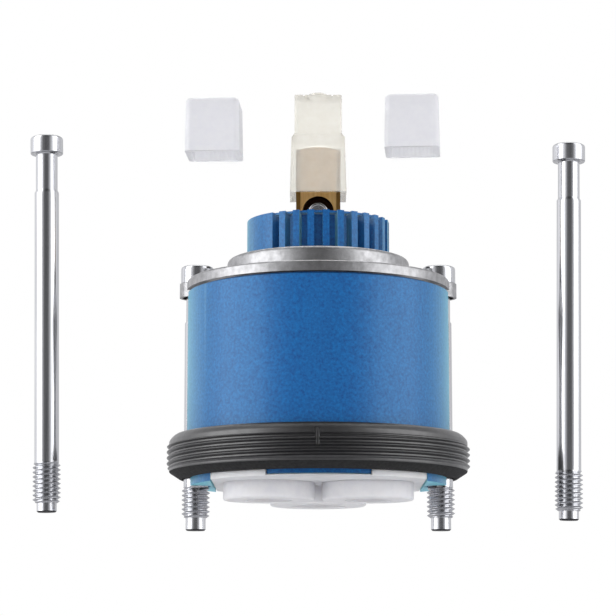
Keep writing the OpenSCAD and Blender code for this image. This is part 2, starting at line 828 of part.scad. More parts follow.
module lever_cap_left() {
    color("ghostwhite") translate([-cap_left_x, -cap_front, cap_left_z]) {
        rotate([0, 0, cap_left_turn]) lever_cap();
    }
}

module lever_cap_right() {
    color("ghostwhite") translate([cap_right_x, -cap_front, cap_right_z]) {
        rotate([0, 0, cap_right_turn]) lever_cap();
    }
}

housing();
clamp_flange();
thread_ring();
base_plate();
inlet_seal_left();
inlet_seal_right();
outlet_seal();
disc_seals();
fixed_disc();
moving_disc();
driver_seal();
disc_driver();
thrust_washer();
lever_carrier();
pivot_pin();
lever();
limiter_screw();
lever_adaptor();
fixing_screw_left();
fixing_screw_right();
spare_screw_left();
spare_screw_right();
lever_cap_left();
lever_cap_right();
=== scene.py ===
# %% [markdown]
# # A ceramic disc tap cartridge
#
# A single-lever mixer tap turns and lifts one handle. Under the handle sits this cartridge: a blue
# moulded body that holds two ceramic discs, a silver flange that two screws pull down, and a brass
# lever that rocks the upper disc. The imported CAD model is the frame. Its shapes are right, so most of
# the work here is what the eye reads as real: threads, soft edges, and the surface of each material.

# %% Load the frame
import math

import bmesh
import bpy
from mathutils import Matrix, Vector


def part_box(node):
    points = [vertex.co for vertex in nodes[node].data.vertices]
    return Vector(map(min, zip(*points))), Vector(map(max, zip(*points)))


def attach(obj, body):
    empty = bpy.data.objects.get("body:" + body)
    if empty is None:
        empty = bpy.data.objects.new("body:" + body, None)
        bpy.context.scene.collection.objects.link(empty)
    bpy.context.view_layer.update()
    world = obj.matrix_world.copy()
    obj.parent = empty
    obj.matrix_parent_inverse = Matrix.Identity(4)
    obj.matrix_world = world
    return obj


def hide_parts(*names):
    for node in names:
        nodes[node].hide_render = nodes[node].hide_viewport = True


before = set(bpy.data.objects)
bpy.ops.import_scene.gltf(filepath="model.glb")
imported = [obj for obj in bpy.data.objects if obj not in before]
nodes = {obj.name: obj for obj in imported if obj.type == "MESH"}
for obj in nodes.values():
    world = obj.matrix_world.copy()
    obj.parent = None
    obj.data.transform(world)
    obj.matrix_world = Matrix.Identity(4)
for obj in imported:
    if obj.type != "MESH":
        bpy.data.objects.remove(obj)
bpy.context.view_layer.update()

# %% [markdown]
# ## The camera
#
# The photo is taken from the front, a little below the seals, with a long lens, so upright edges stay
# upright and the plate's underside shows. The lens could be guessed from the object's known height;
# here it comes from the sizes of the near and far edges of the ring. The camera stays well back, as a
# product photographer would stand.

# %% Camera
CAMERA_PLACE, CAMERA_AIM = (-0.0018, -0.3952, -0.0274), (-0.0018, 0, 0.0344)
LENS_MM, SENSOR_MM = 132.1, 36
camera_data = bpy.data.cameras.new("photo_camera")
camera_data.lens = LENS_MM
camera_data.sensor_width = SENSOR_MM
camera = bpy.data.objects.new("photo_camera", camera_data)
bpy.context.collection.objects.link(camera)
camera.location = CAMERA_PLACE
aim = Vector(CAMERA_AIM) - camera.location
camera.rotation_euler = aim.to_track_quat("-Z", "Y").to_euler()
bpy.context.scene.camera = camera
bpy.context.scene.view_settings.view_transform = "Standard"
print("camera at", [round(v, 4) for v in camera.location])

# %% [markdown]
# ## Two small functions for node trees
#
# Every material is a small tree of shader nodes. One function turns a colour written as a web code
# into the linear light that Blender counts in, and one adds a node with its settings and its links.
# More helpers would hide what a material is made of, so there is none for a kind of node.


# %% Colour and node functions
def linear(code):
    """A web colour such as #BDBDBE as linear red, green, blue and alpha."""
    parts = [int(code[i:i + 2], 16) / 255 for i in (1, 3, 5)]
    return [p / 12.92 if p <= 0.04045 else ((p + 0.055) / 1.055) ** 2.4 for p in parts] + [1]


def add_node(tree, kind, settings, links=None):
    """Add a node, set its properties and sockets by name or number, and link sockets into it."""
    node = tree.nodes.new(kind)
    for name, value in settings.items():
        if isinstance(name, str) and hasattr(node, name):
            setattr(node, name, value)
        else:
            node.inputs[name].default_value = value
    for name, socket in (links or {}).items():
        tree.links.new(socket, node.inputs[name])
    return node


print("linear mid grey:", round(linear("#808080")[0], 3))

# %% [markdown]
# ## The light
#
# The metal in the photo has bright sides and a dark stripe in the middle: tall white walls stand left
# and right of the object, the left one brighter, and between them the camera looks in from a darker
# room. Above and below it is darker too. The world draws that room by direction, so that metal and
# plastic mirror it from every side.

# %% World: the room by direction
# (direction, grey): direction 0 is straight behind the object, 1 is where the camera stands.
ROOM = ((0.0, 0.70), (0.15, 0.85), (0.33, 1.0), (0.85, 1.0), (0.92, 0.60), (0.97, 0.16), (1.0, 0.13))
COOL = 1.02
world = bpy.data.worlds.new("studio")
bpy.context.scene.world = world
world.use_nodes = True
tree = world.node_tree
tree.nodes.clear()
direction = add_node(tree, "ShaderNodeTexCoord", {}).outputs["Generated"]
level = add_node(tree, "ShaderNodeVectorMath", {"operation": "MULTIPLY", 1: (1, 1, 0)}, {0: direction})
compass = add_node(tree, "ShaderNodeVectorMath", {"operation": "NORMALIZE"}, {0: level.outputs[0]})
ahead = add_node(tree, "ShaderNodeVectorMath", {"operation": "DOT_PRODUCT", 1: (0, -0.5, 0)},
                 {0: compass.outputs[0]})
front = add_node(tree, "ShaderNodeMath", {"operation": "ADD", 1: 0.5}, {0: ahead.outputs["Value"]})
room = add_node(tree, "ShaderNodeValToRGB", {}, {"Fac": front.outputs[0]})
stops = room.color_ramp.elements
stops.remove(stops[1])
for position, grey in ROOM:
    stop = stops[0] if position == 0 else stops.new(position)
    stop.position, stop.color = position, (grey, grey, grey * COOL, 1)
print("room with", len(stops), "greys")

# %% [markdown]
# Two more factors make the walls fade above and below, and the left wall brighter than the right. To
# the camera itself the world is plain white, as the photo's background is, and light that comes
# through the clear pieces is white as well.

# %% World: height, sides and backdrop
parts = add_node(tree, "ShaderNodeSeparateXYZ", {}, {0: direction})
height = add_node(tree, "ShaderNodeMath", {"operation": "ABSOLUTE"}, {0: parts.outputs["Z"]})
walls = add_node(tree, "ShaderNodeMapRange",
                 {"From Min": 0.40, "From Max": 0.80, "To Min": 1.0, "To Max": 0.30},
                 {"Value": height.outputs[0]})
side = add_node(tree, "ShaderNodeMapRange",
                {"From Min": -1.0, "From Max": 1.0, "To Min": 1.15, "To Max": 0.85},
                {"Value": parts.outputs["X"]})
strength = add_node(tree, "ShaderNodeMath", {"operation": "MULTIPLY"},
                    {0: walls.outputs[0], 1: side.outputs[0]})
path = add_node(tree, "ShaderNodeLightPath", {})
studio = add_node(tree, "ShaderNodeBackground", {},
                  {"Color": room.outputs["Color"], "Strength": strength.outputs[0]})
backdrop = add_node(tree, "ShaderNodeBackground", {"Color": (1, 1, 1, 1), "Strength": 1.0})
clear = add_node(tree, "ShaderNodeMath", {"operation": "MINIMUM", 1: 1.0},
                 {0: path.outputs["Transmission Depth"]})
through = add_node(tree, "ShaderNodeMixShader", {},
                   {0: clear.outputs[0], 1: studio.outputs[0], 2: backdrop.outputs[0]})
seen = add_node(tree, "ShaderNodeMixShader", {},
                {0: path.outputs["Is Camera Ray"], 1: through.outputs[0], 2: backdrop.outputs[0]})
add_node(tree, "ShaderNodeOutputWorld", {}, {"Surface": seen.outputs[0]})
print("world: white to the camera, bright walls at the sides, dark ahead")

# %% [markdown]
# The lamps are area lights, since a soft box is one. A point lamp would give the steel shanks a thin
# white line where the photo has a broad band. A weaker one hangs behind and above, for the tops. A
# fill behind and above the camera lights the pale plastics, and two rim lights brighten their flanks.
# Metal doesn't mirror these three, or it would have no dark stripe.

# %% Lamps
LIT_MIDDLE = Vector((0, 0, 0.03))


def soft_box(name, place, width, height, watts):
    """A rectangular area light that faces the middle of the cartridge, in metres."""
    data = bpy.data.lights.new(name, "AREA")
    data.shape = "RECTANGLE"
    data.size, data.size_y, data.energy = width, height, watts
    lamp = bpy.data.objects.new(name, data)
    bpy.context.collection.objects.link(lamp)
    lamp.location = place
    lamp.rotation_euler = (LIT_MIDDLE - lamp.location).to_track_quat("-Z", "Y").to_euler()
    return lamp


soft_box("left_soft_box", (-0.48, -0.17, 0.14), 0.44, 0.85, 1.9)
soft_box("right_soft_box", (0.48, -0.17, 0.14), 0.44, 0.85, 1.6)
soft_box("top_soft_box", (0.0, 0.22, 0.55), 0.50, 0.50, 1.3)
for unmirrored in (
        soft_box("front_fill", (0.0, -0.90, 0.20), 0.60, 0.45, 1.7),
        soft_box("left_rim_light", (-0.50, 0.10, 0.12), 0.30, 0.50, 0.3),
        soft_box("right_rim_light", (0.50, 0.10, 0.12), 0.30, 0.50, 0.3)):
    unmirrored.visible_glossy = False
print(len(bpy.data.lights), "area lights")

# %% [markdown]
# The floor is a pale table well below the seals, which the photo doesn't show. It throws a little
# light up under the plate, and ends before the lamps, so no edge of their light lies across it.
# Mirrored in metal it is a little duller, or the screws would vanish against it. To the camera it is
# almost an even white, with the object's shadow still in it.

# %% Floor
TABLE_SIZE, TABLE_Z, EVEN_SHARE = 0.84, -0.05, 0.75
bpy.ops.object.select_all(action="DESELECT")
bpy.ops.mesh.primitive_plane_add(size=TABLE_SIZE, location=(0, 0, TABLE_Z))
floor = bpy.context.object
floor.name = "pale_floor"
floor_paint = bpy.data.materials.new("pale table, matt paint")
floor_paint.use_nodes = True
tree = floor_paint.node_tree
tree.nodes.clear()
matt = add_node(tree, "ShaderNodeBsdfDiffuse", {"Color": linear("#EDEDEE")})
dull = add_node(tree, "ShaderNodeBsdfDiffuse", {"Color": linear("#BCBCBE")})
plain = add_node(tree, "ShaderNodeEmission", {"Color": linear("#F4F4F5"), "Strength": 1.0})
path = add_node(tree, "ShaderNodeLightPath", {})
paint = add_node(tree, "ShaderNodeMixShader", {},
                 {0: path.outputs["Is Glossy Ray"], 1: matt.outputs[0], 2: dull.outputs[0]})
share = add_node(tree, "ShaderNodeMath", {"operation": "MULTIPLY", 1: EVEN_SHARE},
                 {0: path.outputs["Is Camera Ray"]})
table = add_node(tree, "ShaderNodeMixShader", {},
                 {0: share.outputs[0], 1: paint.outputs[0], 2: plain.outputs[0]})
add_node(tree, "ShaderNodeOutputMaterial", {}, {"Surface": table.outputs[0]})
floor.data.materials.append(floor_paint)
print("pale floor", TABLE_SIZE, "m wide")

# %% [markdown]
# ## Materials
#
# Each material is named for what the real piece is made of and how its surface came about. The
# patterns use object coordinates, so a grain of 0.3 mm is 0.3 mm on every piece. A few are coarser
# than real, because the photo itself can't show anything below 0.2 mm.


# %% Start of a material
def start_material(name, **sockets):
    """A material with a shader, an output and object coordinates; sockets are its constants."""
    material = bpy.data.materials.new(name)
    material.use_nodes = True
    tree = material.node_tree
    tree.nodes.clear()
    names = {key.replace("_", " "): value for key, value in sockets.items()}
    shader = add_node(tree, "ShaderNodeBsdfPrincipled", names)
    add_node(tree, "ShaderNodeOutputMaterial", {}, {"Surface": shader.outputs[0]})
    place = add_node(tree, "ShaderNodeTexCoord", {}).outputs["Object"]
    return material, tree, shader, place


def per_mm(size_mm):
    """The Scale of a texture whose features are this many millimetres across."""
    return 1000 / size_mm


print("a 0.3 mm grain has scale", round(per_mm(0.3)))

# %% [markdown]
# ### The blue body: glass-filled nylon
#
# The body is moulded from nylon with short glass fibres. The fibres come to the skin and leave a fine
# mottling on a strong blue, and the mould's texture spreads the light into a broad, cool sheen. The
# fibres are thinner than a pixel, so one noise draws them as flecks of 0.45 mm. A larger one adds
# faint clouds, and a bump on the flecks gives the moulded grain.

# %% Blue nylon
blue_nylon, tree, shader, place = start_material(
    "glass-filled nylon, moulded blue", IOR=1.53, Specular_IOR_Level=0.65,
    Specular_Tint=linear("#C4EEFF"), Sheen_Weight=0.9, Sheen_Roughness=0.45,
    Sheen_Tint=linear("#9AE6E8"))
flecks = add_node(tree, "ShaderNodeTexNoise",
                  {"Scale": per_mm(0.45), "Detail": 3.0, "Roughness": 0.65}, {"Vector": place})
clouds = add_node(tree, "ShaderNodeTexNoise", {"Scale": per_mm(3.2), "Detail": 2.0}, {"Vector": place})
flow = add_node(tree, "ShaderNodeMix", {"data_type": "FLOAT", "Factor": 0.12},
                {2: flecks.outputs["Fac"], 3: clouds.outputs["Fac"]})
blue = add_node(tree, "ShaderNodeValToRGB", {}, {"Fac": flow.outputs[0]})
blue.color_ramp.elements[0].position = 0.34
blue.color_ramp.elements[0].color = linear("#004084")
blue.color_ramp.elements[1].position = 0.70
blue.color_ramp.elements[1].color = linear("#0468B0")
tree.links.new(blue.outputs["Color"], shader.inputs["Base Color"])
sheen = add_node(tree, "ShaderNodeMapRange",
                 {"From Min": 0.35, "From Max": 0.7, "To Min": 0.38, "To Max": 0.28},
                 {"Value": flecks.outputs["Fac"]})
tree.links.new(sheen.outputs[0], shader.inputs["Roughness"])
grain = add_node(tree, "ShaderNodeBump", {"Strength": 0.4, "Distance": 0.00003},
                 {"Height": flecks.outputs["Fac"]})
tree.links.new(grain.outputs[0], shader.inputs["Normal"])
print(blue_nylon.name)

# %% [markdown]
# ### The flange: zinc die casting
#
# Molten zinc freezes against a steel mould and keeps a thin bright skin, a little uneven where the
# metal flowed. The eye sees a soft metal with long gentle highlights. Grey paint would lack the dark
# stripe of the room in its middle, so it is a true metal with a satin roughness.

# %% Die-cast zinc
die_cast, tree, shader, place = start_material("zinc die casting, as cast and tumbled", Metallic=1.0)
skin = add_node(tree, "ShaderNodeTexNoise",
                {"Scale": per_mm(1.3), "Detail": 4.0, "Roughness": 0.6}, {"Vector": place})
tone = add_node(tree, "ShaderNodeValToRGB", {}, {"Fac": skin.outputs["Fac"]})
tone.color_ramp.elements[0].position = 0.3
tone.color_ramp.elements[0].color = linear("#989899")
tone.color_ramp.elements[1].position = 0.7
tone.color_ramp.elements[1].color = linear("#BABABC")
tree.links.new(tone.outputs["Color"], shader.inputs["Base Color"])
satin = add_node(tree, "ShaderNodeMapRange",
                 {"From Min": 0.3, "From Max": 0.7, "To Min": 0.42, "To Max": 0.34},
                 {"Value": skin.outputs["Fac"]})
tree.links.new(satin.outputs[0], shader.inputs["Roughness"])
pits = add_node(tree, "ShaderNodeTexNoise", {"Scale": per_mm(0.5), "Detail": 2.0}, {"Vector": place})
cast = add_node(tree, "ShaderNodeBump", {"Strength": 0.5, "Distance": 0.00006},
                {"Height": pits.outputs["Fac"]})
tree.links.new(cast.outputs[0], shader.inputs["Normal"])
print(die_cast.name)

# %% [markdown]
# ### The screws: bright zinc plate on steel
#
# The wire is drawn, headed, rolled and then plated. Drawing leaves fine lines along the shank, which
# stretch each highlight a little; plating makes it bright and slightly blue. The lines are a noise
# squeezed across the screw and drawn out along it.

# %% Plated steel
plated_steel, tree, shader, place = start_material(
    "steel wire, rolled and bright zinc plated", Metallic=1.0)
along = add_node(tree, "ShaderNodeMapping", {"Scale": (1, 1, 0.01)}, {"Vector": place})
lines = add_node(tree, "ShaderNodeTexNoise", {"Scale": per_mm(0.3), "Detail": 3.0},
                 {"Vector": along.outputs[0]})
zinc = add_node(tree, "ShaderNodeValToRGB", {}, {"Fac": lines.outputs["Fac"]})
zinc.color_ramp.elements[0].position = 0.3
zinc.color_ramp.elements[0].color = linear("#BFC0C4")
zinc.color_ramp.elements[1].position = 0.7
zinc.color_ramp.elements[1].color = linear("#DBDCDF")
tree.links.new(zinc.outputs["Color"], shader.inputs["Base Color"])
gloss = add_node(tree, "ShaderNodeMapRange",
                 {"From Min": 0.3, "From Max": 0.7, "To Min": 0.22, "To Max": 0.17},
                 {"Value": lines.outputs["Fac"]})
tree.links.new(gloss.outputs[0], shader.inputs["Roughness"])
print(plated_steel.name)

# %% [markdown]
# ### The ring: black acetal
#
# The threaded ring is moulded in black acetal, a slippery plastic with a waxy shine, for which the
# shader has a thin coat. It isn't quite black: the light catches its skin in a dark grey. A slow noise
# varies the shine as handling does.

# %% Black acetal
black_acetal, tree, shader, place = start_material(
    "acetal, moulded black", IOR=1.48, Specular_IOR_Level=1.0, Coat_Weight=0.6, Coat_Roughness=0.35)
wear = add_node(tree, "ShaderNodeTexNoise",
                {"Scale": per_mm(1.1), "Detail": 4.0, "Roughness": 0.6}, {"Vector": place})
black = add_node(tree, "ShaderNodeValToRGB", {}, {"Fac": wear.outputs["Fac"]})
black.color_ramp.elements[0].position = 0.3
black.color_ramp.elements[0].color = linear("#161617")
black.color_ramp.elements[1].position = 0.75
black.color_ramp.elements[1].color = linear("#2A2A2C")
tree.links.new(black.outputs["Color"], shader.inputs["Base Color"])
waxy = add_node(tree, "ShaderNodeMapRange",
                {"From Min": 0.3, "From Max": 0.7, "To Min": 0.40, "To Max": 0.30},
                {"Value": wear.outputs["Fac"]})
tree.links.new(waxy.outputs[0], shader.inputs["Roughness"])
print(black_acetal.name)

# %% [markdown]
# ### The milky plastics and seals
#
# The plate is unpigmented plastic and the seals are silicone: light goes in, wanders a millimetre or
# two and comes out again, so their edges glow and their shadows are soft. Subsurface scattering does
# that. The caps and the lever's adaptor are so thin that light comes straight through, blurred, which
# is why the brass shows inside the adaptor as a warm shade. They are a frosted glass instead.


# %% Milky plastics
def milky(name, dull, clear, cloud_mm, roughness, **sockets):
    """An unpigmented plastic: a cloudy colour and a soft sheen that the same clouds vary."""
    material, tree, shader, place = start_material(name, IOR=1.49, **sockets)
    haze = add_node(tree, "ShaderNodeTexNoise", {"Scale": per_mm(cloud_mm), "Detail": 3.0},
                    {"Vector": place})
    tint = add_node(tree, "ShaderNodeValToRGB", {}, {"Fac": haze.outputs["Fac"]})
    tint.color_ramp.elements[0].position = 0.3
    tint.color_ramp.elements[0].color = linear(dull)
    tint.color_ramp.elements[1].position = 0.7
    tint.color_ramp.elements[1].color = linear(clear)
    tree.links.new(tint.outputs["Color"], shader.inputs["Base Color"])
    skin = add_node(tree, "ShaderNodeMapRange",
                    {"From Min": 0.3, "From Max": 0.7, "To Min": roughness + 0.05,
                     "To Max": roughness - 0.05}, {"Value": haze.outputs["Fac"]})
    tree.links.new(skin.outputs[0], shader.inputs["Roughness"])
    return material


def inner_glow(depth_mm):
    """The shader's constants for light that wanders this far inside a plastic."""
    return {"Subsurface_Weight": 0.6, "Subsurface_Radius": (1.0, 0.95, 0.9),
            "Subsurface_Scale": depth_mm / 1000}


plate_plastic = milky("polypropylene, unpigmented, moulded", "#F0F1F4", "#FAFAFD", 2.0, 0.40,
                      Transmission_Weight=0.25, **inner_glow(1.2))
silicone = milky("silicone rubber, translucent, moulded", "#F2F1F7", "#FBFAFE", 1.5, 0.45,
                 Transmission_Weight=0.22, **inner_glow(1.6))
cap_plastic = milky("polypropylene, clear grade, thin walled", "#F5F5F9", "#FCFCFE", 1.2, 0.40,
                    Transmission_Weight=0.60)
adaptor_plastic = milky("polyamide, unpigmented, moulded", "#F4F1E8", "#FBF9F2", 1.6, 0.20,
                        Transmission_Weight=0.66)
print("four milky plastics")

# %% [markdown]
# ### Brass, ceramic, grey acetal and black rubber
#
# The lever is drawn brass bar with fresh milled faces. Its unmilled faces are painted a darker brown,
# as painted shade where the bar's edges turn from the light, and its drilled hole is painted a dark
# brown, as painted shade in the hole. The discs are sintered alumina, lapped so flat that water can't
# pass between them. The carrier and the disc driver are moulded acetal, and the seals on the discs are
# black rubber. Little of these shows, yet each has its own grain. Two more finishes are painted shade
# for faces that point down: the ring's foot comes from a spark-eroded part of the mould, so it is matt,
# and is painted a little blacker, and the end face of each screw's tip is painted a dark steel.


# %% A grained finish
def grained(name, dark, pale, grain_mm, smooth, rough, stretch=(1, 1, 1), **sockets):
    """A material with one grain that varies its colour and its roughness together."""
    material, tree, shader, place = start_material(name, **sockets)
    drawn = add_node(tree, "ShaderNodeMapping", {"Scale": stretch}, {"Vector": place})
    grain = add_node(tree, "ShaderNodeTexNoise", {"Scale": per_mm(grain_mm), "Detail": 4.0},
                     {"Vector": drawn.outputs[0]})
    tint = add_node(tree, "ShaderNodeValToRGB", {}, {"Fac": grain.outputs["Fac"]})
    tint.color_ramp.elements[0].position = 0.3
    tint.color_ramp.elements[0].color = linear(dark)
    tint.color_ramp.elements[1].position = 0.7
    tint.color_ramp.elements[1].color = linear(pale)
    tree.links.new(tint.outputs["Color"], shader.inputs["Base Color"])
    sheen = add_node(tree, "ShaderNodeMapRange",
                     {"From Min": 0.3, "From Max": 0.7, "To Min": rough, "To Max": smooth},
                     {"Value": grain.outputs["Fac"]})
    tree.links.new(sheen.outputs[0], shader.inputs["Roughness"])
    return material


print("the grained finishes share one small tree")

# %% Brass and the inner materials
LINES_ALONG_Z, LINES_ALONG_Y = (1, 1, 0.06), (1, 0.06, 1)
milled_brass = grained("brass, milled", "#CCA264", "#E6C286", 0.45, 0.52, 0.62,
                       LINES_ALONG_Z, Metallic=1.0)
# Painted shade: a darker brass on the faces the milling leaves, where the bar's edges turn from the
# light.
edge_shaded_brass = grained("brass bar, painted shade on the unmilled faces", "#7A5A30", "#96743F", 0.45, 0.42, 0.54,
                      LINES_ALONG_Z, Metallic=1.0)
# Painted shade: a dark brown for the faces inside the drilled hole.
hole_shaded_brass = grained("brass, painted shade in the drilled hole", "#33201A", "#54371F", 0.45, 0.30, 0.42,
                        LINES_ALONG_Y, Metallic=1.0)
ceramic = grained("alumina ceramic, lapped", "#E0DDD4", "#EFEDE7", 0.6, 0.18, 0.30, IOR=1.76)
grey_acetal = grained("acetal, moulded natural", "#BEBEBC", "#D2D2D0", 1.4, 0.38, 0.48, IOR=1.48)
black_rubber = grained("nitrile rubber, moulded", "#0E0E0E", "#1E1E1E", 0.8, 0.55, 0.70, IOR=1.52)
# Painted shade: a slightly darker black for the ring foot's downward faces, which are also rougher.
matt_shaded_acetal = grained("acetal, moulded black, matt with painted shade", "#141415", "#202021",
                      0.5, 0.75, 0.88, IOR=1.48)
# Painted shade: a dark steel for the downward end face of each screw's tip.
tip_shaded_steel = grained("steel, painted shade on the tip's end", "#3A3A3C", "#555557", 0.4, 0.45, 0.60, Metallic=1.0)
print("brass, ceramic, acetal, rubber and sheared steel")

# %% [markdown]
# ## Working in millimetres
#
# The pieces are a few millimetres thick, so they are modelled with one unit to a millimetre and
# shrunk to metres at the end. Half a section is drawn point by point with the extrude operator, as a
# turner draws a profile, and a spin makes the lathe. The steps of a round piece are chosen so that
# its facets stay below what the render shows.


# %% Draw and turn
def only(piece):
    """Make one object the only selected one, in object mode."""
    bpy.ops.object.select_all(action="DESELECT")
    piece.select_set(True)
    bpy.context.view_layer.objects.active = piece


def draw(name, outline):
    """A chain of edges through points given as (radius, height), and edit mode left on."""
    bpy.ops.object.select_all(action="DESELECT")
    bpy.ops.mesh.primitive_plane_add(size=1)
    piece = bpy.context.object
    piece.name = name
    bpy.ops.object.mode_set(mode="EDIT")
    bpy.ops.mesh.select_mode(type="VERT")
    bpy.ops.mesh.select_all(action="SELECT")
    bpy.ops.mesh.merge(type="CENTER")
    radius, height = outline[0]
    bpy.ops.transform.translate(value=(radius, 0, height))
    for next_radius, next_height in outline[1:]:
        step = (next_radius - radius, 0, next_height - height)
        bpy.ops.mesh.extrude_region_move(TRANSFORM_OT_translate={"value": step})
        radius, height = next_radius, next_height
    bpy.ops.mesh.select_all(action="SELECT")
    return piece


def clean(piece):
    """Merge doubles and turn the normals outward, in edit mode, then leave it."""
    bpy.ops.mesh.select_all(action="SELECT")
    bpy.ops.mesh.remove_doubles(threshold=0.0005)
    bpy.ops.mesh.normals_make_consistent(inside=False)
    bpy.ops.object.mode_set(mode="OBJECT")
    return piece


def turn(name, outline, steps):
    """A lathe: spin an outline once round the Z axis."""
    piece = draw(name, outline)
    bpy.ops.mesh.spin(steps=steps, angle=2 * math.pi, center=(0, 0, 0), axis=(0, 0, 1))
    return clean(piece)


STEPS_SMALL, STEPS_LARGE = 64, 192
print("lathe with", STEPS_SMALL, "or", STEPS_LARGE, "steps")

# %% [markdown]
# Solids are cut and joined by a boolean modifier, which is applied at once. The plain shapes for it
# are a box and a bar. The caps start from a box too.


# %% Modifiers and tools
def apply(piece, kind, **settings):
    """Add a modifier, set it and apply it."""
    only(piece)
    modifier = piece.modifiers.new(kind.lower(), kind)
    for name, value in settings.items():
        setattr(modifier, name, value)
    bpy.ops.object.modifier_apply(modifier=modifier.name)


def combine(piece, tool, operation):
    """Cut, join or intersect a solid with another one, which is used up."""
    apply(piece, "BOOLEAN", object=tool, operation=operation, solver="MANIFOLD")
    bpy.data.objects.remove(tool, do_unlink=True)


def block(size, place):
    """A box to cut, join or begin with."""
    bpy.ops.object.select_all(action="DESELECT")
    bpy.ops.mesh.primitive_cube_add(size=1, location=place)
    bpy.context.object.scale = size
    bpy.ops.object.transform_apply(location=True, rotation=True, scale=True)
    return bpy.context.object


def bar(sides, radius, length, place):
    """An upright bar to cut with: six sides for a hexagon socket, many for a round groove."""
    bpy.ops.object.select_all(action="DESELECT")
    bpy.ops.mesh.primitive_cylinder_add(vertices=sides, radius=radius, depth=length, location=place)
    return bpy.context.object


def hexagon(across_flats, length, place):
    """A six-sided bar by its width across the flats, as a key is named."""
    return bar(6, across_flats / 2 / math.cos(math.pi / 6), length, place)


print("a 3 mm key is", round(3 / math.cos(math.pi / 6), 2), "mm over its corners")

# %% [markdown]
# A thread is a tooth that winds upward. The screw modifier winds it, and two bisects cut the rod flat
# at both ends. At last a piece is shrunk to metres, shaded, given its material and put on its body.

# %% Wind and deliver
SMOOTH_ANGLE = math.radians(35)


def wind(name, tooth, pitch, turns, low, high, steps):
    """A threaded rod: wind a tooth upward, then cut the rod flat at both ends."""
    rod = draw(name, tooth)
    bpy.ops.object.mode_set(mode="OBJECT")
    apply(rod, "SCREW", angle=2 * math.pi, screw_offset=pitch, iterations=turns, steps=steps,
          render_steps=steps, use_merge_vertices=True, merge_threshold=0.001)
    bpy.ops.object.mode_set(mode="EDIT")
    bpy.ops.mesh.select_all(action="SELECT")
    bpy.ops.mesh.remove_doubles(threshold=0.0005)
    bpy.ops.mesh.bisect(plane_co=(0, 0, low), plane_no=(0, 0, 1), use_fill=True, clear_inner=True)
    bpy.ops.mesh.select_all(action="SELECT")
    bpy.ops.mesh.bisect(plane_co=(0, 0, high), plane_no=(0, 0, 1), use_fill=True, clear_outer=True)
    return clean(rod)


def place_copy(model, name, spin, lean, place):
    """A copy with its own mesh, spun about its axis, leaned about Y (degrees) and put in place."""
    copy = model.copy()
    copy.data = model.data.copy()
    copy.name = name
    bpy.context.collection.objects.link(copy)
    copy.rotation_mode = "ZYX"
    copy.rotation_euler = (0, math.radians(lean), math.radians(spin))
    copy.location = place
    return copy


def deliver(piece, body, slot, material, *replaced):
    """Shrink a piece to metres, shade it, give it a material and let it ride on a body."""
    only(piece)
    bpy.ops.object.transform_apply(location=True, rotation=True, scale=True)
    piece.scale = (0.001, 0.001, 0.001)
    bpy.ops.object.transform_apply(location=True, rotation=True, scale=True)
    bpy.ops.object.shade_smooth_by_angle(angle=SMOOTH_ANGLE)
    apply(piece, "WEIGHTED_NORMAL", keep_sharp=True, weight=80)
    piece.data.materials.clear()
    piece.data.materials.append(material)
    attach(piece, body)
    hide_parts(*replaced)
    print(piece.name, len(piece.data.polygons), "faces")


print("modelling functions ready")

# %% [markdown]
# ## The screws
#
# Each screw is a cold-headed cap screw: a round head with a hexagon socket, a thin waist, a shank and
# a rolled thread that ends in a plain pilot tip. Rolling presses the thread into the blank, so its
# crests stand above the shank and its ends run out softly. Winding a tooth and trimming it by a turned
# envelope gives the run-out; a stack of rings would have no slope.

# %% Screw sizes
HEAD_R, HEAD_H, WAIST_R, WAIST_LEN = 2.9, 3.1, 1.925, 6.8
SHANK_R, CREST_R, ROOT_R, PITCH = 2.15, 2.45, 1.98, 0.8
TIP_R, RUN_OUT = 1.75, 0.9
SOCKET_AF, SOCKET_DEPTH = 3.0, 1.8
TOOTH = ((ROOT_R, 0), (ROOT_R, 0.08), (ROOT_R + 0.17, 0.21), (CREST_R - 0.05, 0.35),
         (CREST_R, 0.40), (CREST_R, 0.46), (CREST_R - 0.05, 0.51), (ROOT_R + 0.17, 0.65),
         (ROOT_R, 0.78), (ROOT_R, PITCH))
print("M5 screw, pitch", PITCH)


